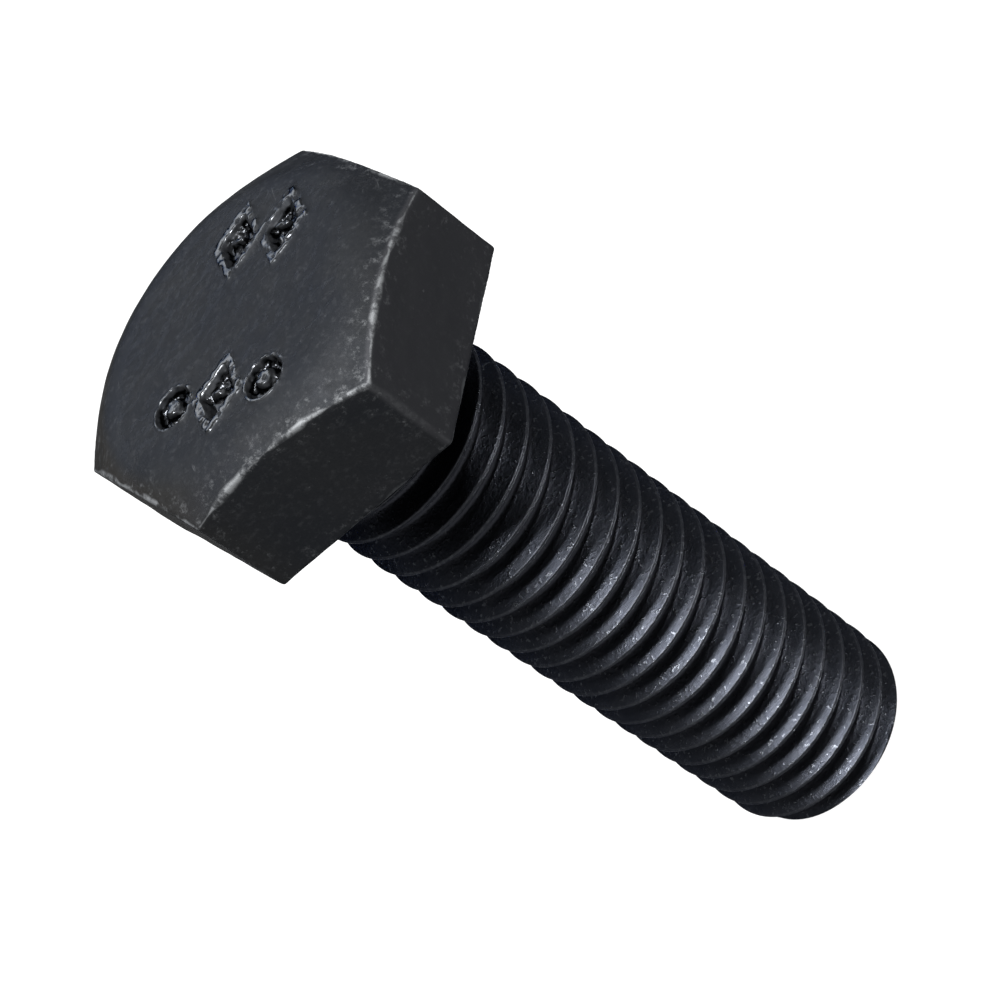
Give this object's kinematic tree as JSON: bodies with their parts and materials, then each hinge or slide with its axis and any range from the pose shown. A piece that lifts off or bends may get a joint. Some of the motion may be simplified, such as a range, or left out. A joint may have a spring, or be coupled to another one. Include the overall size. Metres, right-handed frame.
{
  "type": "hex bolt",
  "caption": "Hexagon head bolt in black steel, with a chamfered head, a washer face, a coarse right-hand thread up to the head and a rounded point.",
  "frame": {"origin": "centre of the bearing face under the head, on the bolt's axis", "axes": "+Z along the axis from the shank into the head, +X through a corner of the hexagon"},
  "size_m": [0.0218, 0.0188, 0.0475],
  "materials": {
    "head_steel": "black oxide over forged steel, satin, worn grey along the edges",
    "thread_steel": "black oxide over rolled steel, lightly oiled, glossier than the head"
  },
  "bodies": {
    "root": {"hex_head": "head_steel", "washer_face": "head_steel", "neck": "thread_steel", "shank_core": "thread_steel", "thread": "thread_steel", "rounded_point": "thread_steel"}
  },
  "joints": []
}
